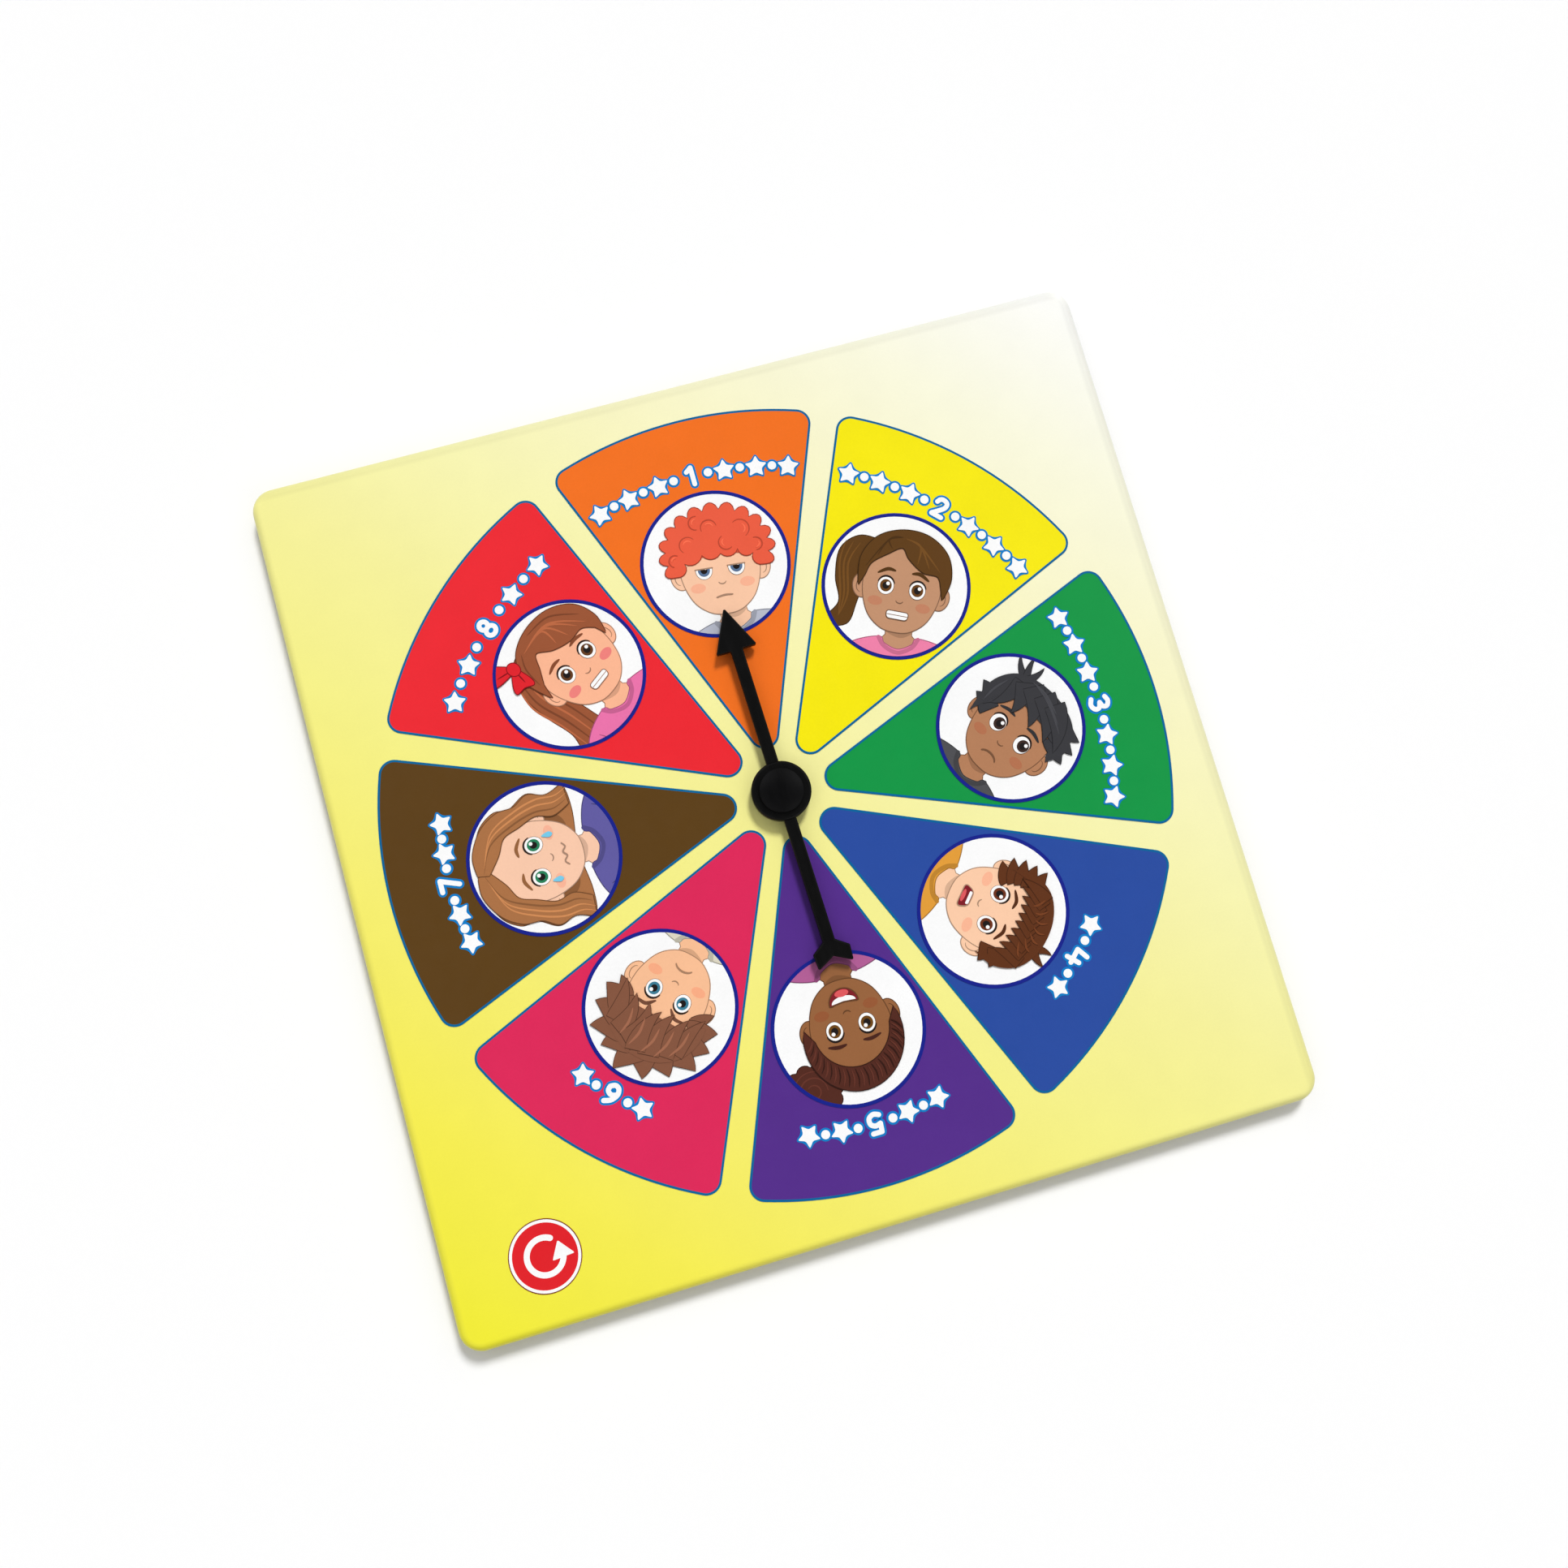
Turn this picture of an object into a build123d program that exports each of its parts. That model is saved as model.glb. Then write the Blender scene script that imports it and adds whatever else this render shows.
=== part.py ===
"""Tabletop game spinner: a square printed board with eight sectors and a free-spinning pointer.

Millimetres, +Z up. The origin is on the table, under the pivot. +Y points to sector 1.
The board is a wrapped card core on four bumper feet. A two-piece snap rivet holds the pointer
between two washers: its barrel comes up through the board, and its pin clicks down into the barrel.
Each function makes one sub-part, in its place, and main() writes every one to parts/NAME.step.
"""

import os
from math import cos, radians, sin, tan

from build123d import *

# Board
BOARD_SIDE = 200.0
CORNER_RADIUS = 5.3
CORE_THICKNESS = 3.0
SHEET_THICKNESS = 0.25
TOP_EDGE_ROUND = 2.2
BOTTOM_EDGE_ROUND = 0.6
TURN_IN_WIDTH = 12.0
BACK_SHEET_MARGIN = 1.5

# Bumper feet
FOOT_HEIGHT = 2.0
FOOT_RADIUS = 5.0
FOOT_DRAFT = 0.5
FOOT_EDGE_ROUND = 0.4
FOOT_OFFSET = 84.0

# Labels on the face
SECTOR_COUNT = 8
SECTOR_HALF_ANGLE = 21.6
SECTOR_APEX = 5.3
SECTOR_OUTER_RADIUS = 90.8
SECTOR_CORNER_ROUND = 3.2
LABEL_THICKNESS = 0.1
PORTRAIT_RADIUS = 17.5
PORTRAIT_OFFSET = 55.5
BADGE_RADIUS = 8.0
BADGE_CENTRE = (-77.5, -84.0)

# Pivot: barrel, pin and washers
BARREL_RADIUS = 2.0
BARREL_BORE_RADIUS = 1.25
FLANGE_RADIUS = 6.5
FLANGE_THICKNESS = 1.2
FLANGE_EDGE_ROUND = 0.4
CATCH_RADIUS = 1.6
CATCH_DEPTH = 1.9
BARB_RADIUS = 1.48
BARB_TIP_RADIUS = 1.0
BARB_LENGTH = 1.3
PIN_SLOT_WIDTH = 0.5
PIN_SLOT_LENGTH = 4.2
PIN_HEAD_RADIUS = 5.0
PIN_HEAD_HEIGHT = 1.15
PIN_HEAD_RIM = 0.55
BOARD_HOLE_RADIUS = 2.1
LOWER_WASHER_RADIUS = 4.5
LOWER_WASHER_THICKNESS = 0.8
UPPER_WASHER_RADIUS = 4.2
UPPER_WASHER_THICKNESS = 0.4
WASHER_BORE_RADIUS = 2.1
END_PLAY = 0.05

# Pointer, drawn along +Y and then turned to where it rests
POINTER_REST_ANGLE = 1.6
POINTER_BORE_RADIUS = 2.06
HUB_RADIUS = 6.85
HUB_HEIGHT = 2.65
HUB_EDGE_ROUND = 0.6
SHAFT_HALF_WIDTH = 1.45
SHAFT_LIFT = 0.55
SHAFT_THICKNESS = 1.7
POINTER_EDGE_ROUND = 0.4
HEAD_TIP = 44.3
HEAD_BASE = 34.0
HEAD_HALF_WIDTH = 4.9
HEAD_CORNER_ROUND = 0.35
TAIL_START = 35.3
TAIL_SHOULDER = 37.4
TAIL_HALF_WIDTH = 4.35
TAIL_END = 41.1
TAIL_END_HALF_WIDTH = 4.1
TAIL_NOTCH = 38.9

# Levels above the table
BACK_BOTTOM = FOOT_HEIGHT
CORE_BOTTOM = BACK_BOTTOM + SHEET_THICKNESS
CORE_TOP = CORE_BOTTOM + CORE_THICKNESS
FACE_TOP = CORE_TOP + SHEET_THICKNESS
SECTOR_TOP = FACE_TOP + LABEL_THICKNESS
FLANGE_BOTTOM = BACK_BOTTOM - FLANGE_THICKNESS
HUB_BOTTOM = FACE_TOP + LOWER_WASHER_THICKNESS + END_PLAY
HUB_TOP = HUB_BOTTOM + HUB_HEIGHT
SHAFT_BOTTOM = HUB_BOTTOM + SHAFT_LIFT
UPPER_WASHER_BOTTOM = HUB_TOP + END_PLAY
BARREL_TOP = UPPER_WASHER_BOTTOM + UPPER_WASHER_THICKNESS
CATCH_TOP = FLANGE_BOTTOM + CATCH_DEPTH


def bottom_edges(solid):
    """The edges round a solid's lowest face."""
    return solid.faces().sort_by(Axis.Z)[0].edges()


def top_edges(solid):
    """The edges round a solid's highest face."""
    return solid.faces().sort_by(Axis.Z)[-1].edges()


def rounded_slab(side, corner, bottom, top):
    """A square slab with rounded corners between two levels."""
    return Pos(0, 0, bottom) * extrude(RectangleRounded(side, side, corner), top - bottom)


def column(radius, bottom, top):
    """A round column on the pivot axis between two levels."""
    return Pos(0, 0, bottom) * extrude(Circle(radius), top - bottom)


def board_hole():
    """The hole for the barrel, through every layer of the board."""
    return column(BOARD_HOLE_RADIUS, 0, FACE_TOP + 1)


def core_body():
    """The card core before its hole is punched. The turn-in of the wrap lies in a rebate round its
    underside, so the middle stands a sheet's thickness lower than the border."""
    inset = SHEET_THICKNESS
    slab = rounded_slab(
        BOARD_SIDE - 2 * inset, CORNER_RADIUS - inset, CORE_BOTTOM + inset, CORE_TOP
    )
    slab = fillet(top_edges(slab), TOP_EDGE_ROUND - inset)
    slab = fillet(bottom_edges(slab), BOTTOM_EDGE_ROUND - inset)
    middle_side = BOARD_SIDE - 2 * TURN_IN_WIDTH
    middle = rounded_slab(middle_side, CORNER_RADIUS, CORE_BOTTOM, CORE_TOP - 1)
    return slab + middle


def board_core():
    return core_body() - board_hole()


def face_sheet():
    """The printed sheet. It covers the face, goes round the edges and turns in under the core."""
    wrap = rounded_slab(BOARD_SIDE, CORNER_RADIUS, CORE_BOTTOM, FACE_TOP)
    wrap = fillet(top_edges(wrap), TOP_EDGE_ROUND)
    wrap = fillet(bottom_edges(wrap), BOTTOM_EDGE_ROUND)
    return wrap - core_body() - board_hole()


def back_sheet():
    """The liner that covers the turned-in edges."""
    side = BOARD_SIDE - 2 * BACK_SHEET_MARGIN
    liner = rounded_slab(side, CORNER_RADIUS - 1, BACK_BOTTOM, CORE_BOTTOM)
    return liner - board_hole()


def foot(x, y):
    """A round self-adhesive bumper, narrower at the table."""
    outline = Circle(FOOT_RADIUS)
    bumper = extrude(outline, -FOOT_HEIGHT, taper=FOOT_DRAFT * 10)
    bumper = Pos(0, 0, FOOT_HEIGHT) * bumper
    bumper = fillet(bottom_edges(bumper), FOOT_EDGE_ROUND)
    return Pos(x, y, 0) * bumper


def sector_outline():
    """One sector pointing along +Y: two straight sides and an arc, with all three corners round."""
    spread = tan(radians(SECTOR_HALF_ANGLE))
    # The side x = (y - apex) * spread meets the circle x^2 + y^2 = R^2.
    a = 1 + spread**2
    b = -2 * SECTOR_APEX * spread**2
    c = (SECTOR_APEX * spread) ** 2 - SECTOR_OUTER_RADIUS**2
    side_y = (-b + (b**2 - 4 * a * c) ** 0.5) / (2 * a)
    side_x = (side_y - SECTOR_APEX) * spread
    apex = (0, SECTOR_APEX)
    left, right = (-side_x, side_y), (side_x, side_y)
    crown = (0, SECTOR_OUTER_RADIUS)
    border = Line(apex, right) + ThreePointArc(right, crown, left) + Line(left, apex)
    outline = make_face(border)
    return fillet(outline.vertices(), SECTOR_CORNER_ROUND)


def clockwise(number):
    """How far sector number is turned from +Y, as a location. Sectors count clockwise from 1."""
    return Rot(0, 0, -(number - 1) * 360 / SECTOR_COUNT)


def sector_label(number):
    label = Pos(0, 0, FACE_TOP) * extrude(sector_outline(), LABEL_THICKNESS)
    return clockwise(number) * label


def portrait_label(number):
    """The round picture label on a sector."""
    label = extrude(Circle(PORTRAIT_RADIUS), LABEL_THICKNESS)
    return clockwise(number) * Pos(0, PORTRAIT_OFFSET, SECTOR_TOP) * label


def badge_label():
    """The small round label in the corner of the face."""
    x, y = BADGE_CENTRE
    return Pos(x, y, FACE_TOP) * extrude(Circle(BADGE_RADIUS), LABEL_THICKNESS)


def pivot_barrel():
    """The lower half of the snap rivet: a flange under the board and a tube that the pointer turns on.
    The tube widens at its foot, so that the pin's barb can open there."""
    flange = column(FLANGE_RADIUS, FLANGE_BOTTOM, BACK_BOTTOM)
    flange = fillet(bottom_edges(flange), FLANGE_EDGE_ROUND)
    tube = column(BARREL_RADIUS, FLANGE_BOTTOM, BARREL_TOP)
    bore = column(BARREL_BORE_RADIUS, FLANGE_BOTTOM, BARREL_TOP)
    catch = column(CATCH_RADIUS, FLANGE_BOTTOM, CATCH_TOP)
    return flange + tube - bore - catch


def pivot_pin():
    """The upper half: a domed head, a shank, and a split barb that hooks under the barrel's step."""
    rim_top = BARREL_TOP + PIN_HEAD_RIM
    head_top = BARREL_TOP + PIN_HEAD_HEIGHT
    barb_top = CATCH_TOP - END_PLAY
    barb_bottom = barb_top - BARB_LENGTH
    profile = (
        Line((0, barb_bottom), (BARB_TIP_RADIUS, barb_bottom))
        + Line((BARB_TIP_RADIUS, barb_bottom), (BARB_RADIUS, barb_top - 0.3))
        + Line((BARB_RADIUS, barb_top - 0.3), (BARB_RADIUS, barb_top))
        + Line((BARB_RADIUS, barb_top), (BARREL_BORE_RADIUS, barb_top))
        + Line((BARREL_BORE_RADIUS, barb_top), (BARREL_BORE_RADIUS, BARREL_TOP))
        + Line((BARREL_BORE_RADIUS, BARREL_TOP), (PIN_HEAD_RADIUS, BARREL_TOP))
        + Line((PIN_HEAD_RADIUS, BARREL_TOP), (PIN_HEAD_RADIUS, rim_top))
        + ThreePointArc(
            (PIN_HEAD_RADIUS, rim_top),
            dome_point(rim_top, head_top),
            (0, head_top),
        )
        + Line((0, head_top), (0, barb_bottom))
    )
    pin = revolve(Plane.XZ * make_face(profile), Axis.Z)
    slot_top = barb_bottom + PIN_SLOT_LENGTH
    slot = Pos(0, 0, (barb_bottom + slot_top) / 2) * Box(
        PIN_SLOT_WIDTH, 2 * CATCH_RADIUS, slot_top - barb_bottom
    )
    return pin - slot


def dome_point(rim_top, head_top):
    """A point half-way up the pin head's dome, on the ball through its rim and its crown."""
    rise = head_top - rim_top
    ball_radius = (PIN_HEAD_RADIUS**2 + rise**2) / (2 * rise)
    x = PIN_HEAD_RADIUS / 2
    return (x, head_top - ball_radius + (ball_radius**2 - x**2) ** 0.5)


def washer(radius, bottom, thickness):
    ring = column(radius, bottom, bottom + thickness)
    return ring - column(WASHER_BORE_RADIUS, bottom - 1, bottom + thickness + 1)


def lower_washer():
    return washer(LOWER_WASHER_RADIUS, FACE_TOP, LOWER_WASHER_THICKNESS)


def upper_washer():
    return washer(UPPER_WASHER_RADIUS, UPPER_WASHER_BOTTOM, UPPER_WASHER_THICKNESS)


def arrow_outline():
    """The pointer's plan without its hub: a barbed head, a shaft and a notched tail."""
    right_side = [
        (0, HEAD_TIP),
        (HEAD_HALF_WIDTH, HEAD_BASE),
        (SHAFT_HALF_WIDTH, HEAD_BASE),
        (SHAFT_HALF_WIDTH, -TAIL_START),
        (TAIL_HALF_WIDTH, -TAIL_SHOULDER),
        (TAIL_END_HALF_WIDTH, -TAIL_END),
        (0, -TAIL_NOTCH),
    ]
    left_side = [(-x, y) for x, y in reversed(right_side[1:-1])]
    outline = make_face(Polyline(*right_side, *left_side, close=True))
    return fillet(outline.vertices(), HEAD_CORNER_ROUND)


def pointer():
    """The moulded arrow. Its hub runs on the barrel."""
    arrow = Pos(0, 0, SHAFT_BOTTOM) * extrude(arrow_outline(), SHAFT_THICKNESS)
    arrow = fillet(top_edges(arrow), POINTER_EDGE_ROUND)
    hub = column(HUB_RADIUS, HUB_BOTTOM, HUB_TOP)
    hub = fillet(top_edges(hub), HUB_EDGE_ROUND)
    bore = column(POINTER_BORE_RADIUS, HUB_BOTTOM - 1, HUB_TOP + 1)
    return Rot(0, 0, POINTER_REST_ANGLE) * (arrow + hub - bore)


def feet():
    """Node name and solid for each of the four feet."""
    for end, y in (("front", -FOOT_OFFSET), ("rear", FOOT_OFFSET)):
        for side, x in (("left", -FOOT_OFFSET), ("right", FOOT_OFFSET)):
            yield f"foot_{end}_{side}", foot(x, y)


def main():
    nodes = {
        "board_core": board_core(),
        "face_sheet": face_sheet(),
        "back_sheet": back_sheet(),
        "pivot_barrel": pivot_barrel(),
        "pivot_pin": pivot_pin(),
        "lower_washer": lower_washer(),
        "upper_washer": upper_washer(),
        "pointer": pointer(),
        "badge_label": badge_label(),
    }
    nodes.update(feet())
    for number in range(1, SECTOR_COUNT + 1):
        nodes[f"sector_label_{number}"] = sector_label(number)
        nodes[f"portrait_label_{number}"] = portrait_label(number)
    os.makedirs("parts", exist_ok=True)
    for name, shape in nodes.items():
        export_step(shape, f"parts/{name}.step")


main()
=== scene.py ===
"""A game spinner: a printed square board with eight sectors and a black arrow on a snap rivet.

The frame gives the board, its labels, the rivet and the arrow. This script adds the ink on the labels,
the materials, a plain pale floor, soft lights and the camera. Lengths are metres, and MM turns
millimetres into them. Flat artwork is drawn with complex numbers, one for each point, in millimetres.
"""

import cmath
import math

import bmesh
import bpy
from mathutils import Matrix, Vector


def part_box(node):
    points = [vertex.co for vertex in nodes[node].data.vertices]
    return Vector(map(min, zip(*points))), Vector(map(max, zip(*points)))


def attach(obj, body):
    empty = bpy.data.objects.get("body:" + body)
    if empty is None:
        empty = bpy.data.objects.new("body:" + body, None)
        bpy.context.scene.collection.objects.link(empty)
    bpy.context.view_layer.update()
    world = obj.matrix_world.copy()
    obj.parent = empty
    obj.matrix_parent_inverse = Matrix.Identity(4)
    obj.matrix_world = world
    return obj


MM = 0.001
SECTORS = 8

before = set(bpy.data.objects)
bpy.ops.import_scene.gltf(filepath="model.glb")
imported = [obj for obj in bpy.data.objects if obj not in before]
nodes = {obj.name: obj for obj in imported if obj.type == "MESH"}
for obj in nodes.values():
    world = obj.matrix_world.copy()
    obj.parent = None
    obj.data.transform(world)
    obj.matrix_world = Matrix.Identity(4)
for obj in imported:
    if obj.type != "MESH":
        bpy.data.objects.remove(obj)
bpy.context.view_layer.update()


# ---------------------------------------------------------------- colours


def srgb(red, green, blue):
    """Linear colour from the usual 0-255 numbers."""

    def channel(value):
        value /= 255
        return value / 12.92 if value <= 0.04045 else ((value + 0.055) / 1.055) ** 2.4

    return (channel(red), channel(green), channel(blue), 1.0)


def shade(colour, factor):
    """The same colour, darker or lighter."""
    return tuple(min(1.0, channel * factor) for channel in colour[:3]) + (1.0,)


SECTOR_COLOURS = [
    srgb(244, 114, 32),
    srgb(248, 234, 11),
    srgb(18, 151, 70),
    srgb(42, 77, 161),
    srgb(85, 46, 139),
    srgb(223, 41, 90),
    srgb(93, 64, 24),
    srgb(238, 41, 51),
]
WHITE_INK = srgb(252, 252, 252)
BLACK_INK = srgb(30, 24, 24)
OUTLINE_BLUE = srgb(0, 102, 156)
LETTER_BLUE = srgb(10, 125, 200)
RING_NAVY = srgb(22, 34, 140)

# The face's colour along its diagonal, from the front left corner to the rear right one.
FACE_GRADIENT = [
    (-190, srgb(244, 238, 54)),
    (-145, srgb(248, 239, 82)),
    (-95, srgb(248, 240, 112)),
    (-45, srgb(248, 243, 137)),
    (0, srgb(248, 243, 156)),
    (45, srgb(250, 247, 180)),
    (95, srgb(251, 248, 202)),
    (145, srgb(252, 251, 225)),
    (190, srgb(255, 255, 250)),
]

# Painted shade: the print is darkened towards the rear and right rims.
RIM_PAINTED_SHADE = (0.76, 0.76, 0.76, 1.0)
RIM_PAINTED_SHADE_SPAN = (96.8 * MM, 99.6 * MM)


# ---------------------------------------------------------------- materials

# Where a mix node keeps its colour sockets.
MIX_FIRST = 6
MIX_SECOND = 7
MIX_RESULT = 2


class Shader:
    """A node material with a Principled BSDF, and short ways to add to it."""

    def __init__(self, name):
        self.material = bpy.data.materials.new(name)
        self.material.use_nodes = True
        self.nodes = self.material.node_tree.nodes
        self.links = self.material.node_tree.links
        self.surface = self.nodes["Principled BSDF"]
        self.place = self.nodes.new("ShaderNodeTexCoord").outputs["Object"]

    def set(self, **values):
        """Constant values on the surface's own sockets."""
        for name, value in values.items():
            self.surface.inputs[name.replace("_", " ")].default_value = value

    def stretched(self, scale):
        """The place in the object, scaled differently along each axis."""
        mapping = self.nodes.new("ShaderNodeMapping")
        mapping.inputs["Scale"].default_value = scale
        self.links.new(self.place, mapping.inputs["Vector"])
        return mapping.outputs["Vector"]

    def noise(self, size, detail=3.0, roughness=0.5, place=None):
        """Noise with features about size metres across."""
        node = self.nodes.new("ShaderNodeTexNoise")
        node.inputs["Scale"].default_value = 1 / size
        node.inputs["Detail"].default_value = detail
        node.inputs["Roughness"].default_value = roughness
        self.links.new(place or self.place, node.inputs["Vector"])
        return node.outputs["Fac"]

    def spread(self, value, low, high, start=0.3, end=0.7):
        """Maps a value from start..end to low..high, and holds it there outside."""
        node = self.nodes.new("ShaderNodeMapRange")
        for name, number in (("From Min", start), ("From Max", end), ("To Min", low), ("To Max", high)):
            node.inputs[name].default_value = number
        self.links.new(value, node.inputs["Value"])
        return node.outputs["Result"]

    def feed(self, socket, value):
        """Gives a socket its value, which is a constant or another node's output."""
        if isinstance(value, (int, float, tuple)):
            socket.default_value = value
        else:
            self.links.new(value, socket)

    def add(self, first, second, operation="ADD"):
        """Adds two numbers, or puts them together by another operation."""
        node = self.nodes.new("ShaderNodeMath")
        node.operation = operation
        self.feed(node.inputs[0], first)
        self.feed(node.inputs[1], second)
        return node.outputs["Value"]

    def mix(self, factor, first, second, blend="MIX"):
        """Blends two colours."""
        node = self.nodes.new("ShaderNodeMix")
        node.data_type = "RGBA"
        node.blend_type = blend
        self.feed(node.inputs["Factor"], factor)
        self.feed(node.inputs[MIX_FIRST], first)
        self.feed(node.inputs[MIX_SECOND], second)
        return node.outputs[MIX_RESULT]

    def colour(self, socket):
        self.links.new(socket, self.surface.inputs["Base Color"])

    def rough(self, socket):
        self.links.new(socket, self.surface.inputs["Roughness"])

    def bump(self, height, depth, strength=1.0):
        """Bumps of that depth in metres, from a height of 0 to 1."""
        node = self.nodes.new("ShaderNodeBump")
        node.inputs["Strength"].default_value = strength
        node.inputs["Distance"].default_value = depth
        self.links.new(height, node.inputs["Height"])
        self.links.new(node.outputs["Normal"], self.surface.inputs["Normal"])


def paper_finish(shader, colour):
    """Satin laminate over ink on paper: faint mottling, fine tooth and a little unevenness in the gloss."""
    mottle = shader.spread(shader.noise(9 * MM, detail=4), 0.0, 1.0)
    speck = shader.spread(shader.noise(0.5 * MM, detail=2), 0.0, 1.0)
    grain = shader.add(shader.add(mottle, 0.6, "MULTIPLY"), shader.add(speck, 0.4, "MULTIPLY"))
    if isinstance(colour, tuple):
        shader.colour(shader.mix(grain, shade(colour, 0.965), shade(colour, 1.025)))
    else:
        tint = shader.mix(grain, (0.965, 0.965, 0.965, 1.0), (1.0, 1.0, 1.0, 1.0))
        shader.colour(shader.mix(1.0, colour, tint, "MULTIPLY"))
    shader.rough(shader.spread(shader.noise(3 * MM, detail=5), 0.3, 0.4))
    tooth = shader.add(shader.noise(0.35 * MM, detail=3), shader.noise(1.6 * MM, detail=2))
    shader.bump(tooth, 0.004 * MM)
    shader.set(Specular_IOR_Level=0.25)


def ink(name, colour):
    """Plain printed colour."""
    shader = Shader(f"ink_{name}")
    paper_finish(shader, colour)
    return shader.material


def face_paper():
    """The board's printed sheet, whose colour runs along its diagonal, with painted shade towards its rear
    and right rims.
    """
    shader = Shader("face_paper")
    split = shader.nodes.new("ShaderNodeSeparateXYZ")
    shader.links.new(shader.place, split.inputs["Vector"])
    diagonal = shader.add(split.outputs["X"], split.outputs["Y"])
    reach = FACE_GRADIENT[-1][0] * MM
    along = shader.spread(diagonal, 0.0, 1.0, -reach, reach)
    ramp = shader.nodes.new("ShaderNodeValToRGB")
    shader.links.new(along, ramp.inputs["Fac"])
    stops = ramp.color_ramp.elements
    while len(stops) < len(FACE_GRADIENT):
        stops.new(0.5)
    for stop, (where, colour) in zip(stops, FACE_GRADIENT):
        stop.position = (where * MM + reach) / (2 * reach)
        stop.color = colour
    # Painted shade: the colour is darkened towards the rear and right rims.
    furthest = shader.add(split.outputs["X"], split.outputs["Y"], "MAXIMUM")
    rim = shader.spread(furthest, 0.0, 1.0, *RIM_PAINTED_SHADE_SPAN)
    paper_finish(shader, shader.mix(rim, ramp.outputs["Color"], RIM_PAINTED_SHADE, "MULTIPLY"))
    return shader.material


def back_paper():
    """Uncoated liner: off-white, with visible fibres."""
    shader = Shader("back_paper")
    fibre = shader.noise(1.2 * MM, detail=6, roughness=0.7, place=shader.stretched((1.0, 0.3, 1.0)))
    shader.colour(shader.mix(shader.spread(fibre, 0.0, 1.0), srgb(226, 222, 212), srgb(243, 241, 235)))
    shader.rough(shader.spread(shader.noise(2 * MM), 0.78, 0.9))
    shader.bump(shader.noise(0.6 * MM, detail=5), 0.02 * MM)
    shader.set(Specular_IOR_Level=0.2)
    return shader.material


def grey_card():
    """The core's pressed fibres, with darker flecks."""
    shader = Shader("grey_card")
    fleck = shader.spread(shader.noise(0.8 * MM, detail=6, roughness=0.75), 0.0, 1.0, 0.42, 0.6)
    shader.colour(shader.mix(fleck, srgb(132, 124, 112), srgb(168, 160, 147)))
    shader.rough(shader.spread(fleck, 0.85, 0.95))
    shader.bump(fleck, 0.05 * MM)
    return shader.material


def moulded_plastic(name, colour, smoothest, roughest, grain, depth):
    """Black moulded plastic: a fine sparked grain, soft handling marks and a little uneven gloss."""
    shader = Shader(name)
    handled = shader.spread(shader.noise(4 * MM, detail=5), 0.0, 1.0)
    scratches = shader.noise(0.9 * MM, detail=8, roughness=0.8, place=shader.stretched((1.0, 0.12, 1.0)))
    shader.colour(shader.mix(handled, shade(colour, 0.8), shade(colour, 1.3)))
    marks = shader.spread(scratches, 0.0, roughest - smoothest, 0.45, 0.75)
    shader.rough(shader.add(marks, smoothest))
    shader.bump(shader.noise(grain, detail=3), depth)
    shader.set(Specular_IOR_Level=0.22)
    return shader.material


def foot_rubber():
    """Dark rubber with a little dust in its grain."""
    shader = Shader("foot_rubber")
    dust = shader.spread(shader.noise(1.5 * MM, detail=6), 0.0, 1.0)
    shader.colour(shader.mix(dust, srgb(38, 38, 38), srgb(58, 57, 55)))
    shader.rough(shader.spread(dust, 0.72, 0.9))
    shader.bump(shader.noise(0.3 * MM, detail=4), 0.03 * MM)
    return shader.material


def paint_frame():
    """Gives each CAD node its material."""
    pivot = moulded_plastic(
        "pivot_plastic", srgb(5, 5, 6), smoothest=0.3, roughest=0.5, grain=0.25 * MM, depth=0.006 * MM
    )
    arrow = moulded_plastic(
        "pointer_plastic", srgb(5, 5, 5), smoothest=0.36, roughest=0.56, grain=0.3 * MM, depth=0.008 * MM
    )
    washer = moulded_plastic(
        "washer_plastic", srgb(24, 24, 25), smoothest=0.5, roughest=0.7, grain=0.2 * MM, depth=0.006 * MM
    )
    rubber = foot_rubber()
    looks = {
        "board_core": grey_card(),
        "face_sheet": face_paper(),
        "back_sheet": back_paper(),
        "pivot_barrel": pivot,
        "pivot_pin": pivot,
        "lower_washer": washer,
        "upper_washer": washer,
        "pointer": arrow,
        "badge_label": ink("badge", srgb(226, 32, 40)),
    }
    picture_paper = ink("picture", WHITE_INK)
    for number, colour in enumerate(SECTOR_COLOURS, 1):
        looks[f"sector_label_{number}"] = ink(f"sector_{number}", colour)
        looks[f"portrait_label_{number}"] = picture_paper
    for name, node in nodes.items():
        material = looks.get(name, rubber)
        node.data.materials.clear()
        node.data.materials.append(material)


# ---------------------------------------------------------------- outlines, in millimetres


def direction(degrees):
    """The unit step that points degrees counter-clockwise from +x."""
    return cmath.rect(1, math.radians(degrees))


def ellipse(centre, wide, high=None, turn=0, steps=36):
    """A closed ellipse from its two radii, or a circle from one."""
    high = high or wide
    angles = [2 * math.pi * step / steps for step in range(steps)]
    return [centre + direction(turn) * complex(wide * math.cos(a), high * math.sin(a)) for a in angles]


def arc(centre, wide, high, start, end, steps=20):
    """Points of an ellipse's arc, from start to end degrees."""
    points = []
    for step in range(steps + 1):
        angle = math.radians(start + (end - start) * step / steps)
        points.append(centre + complex(wide * math.cos(angle), high * math.sin(angle)))
    return points


def smooth(points, closed=False, steps=7):
    """A Catmull-Rom curve through the points."""
    count = len(points)
    spans = count if closed else count - 1

    def at(index):
        return points[index % count] if closed else points[max(0, min(count - 1, index))]

    curve = []
    for span in range(spans):
        a, b, c, d = (at(span + offset) for offset in (-1, 0, 1, 2))
        for step in range(steps):
            t = step / steps
            square = (2 * a - 5 * b + 4 * c - d) * t**2
            cube = (3 * b - a - 3 * c + d) * t**3
            curve.append(0.5 * (2 * b + (c - a) * t + square + cube))
    if not closed:
        curve.append(points[-1])
    return curve


def mirrored(points):
    """A closed outline from its right half, listed from the bottom up."""
    return points + [complex(-p.real, p.imag) for p in reversed(points) if abs(p.real) > 1e-6]


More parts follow.
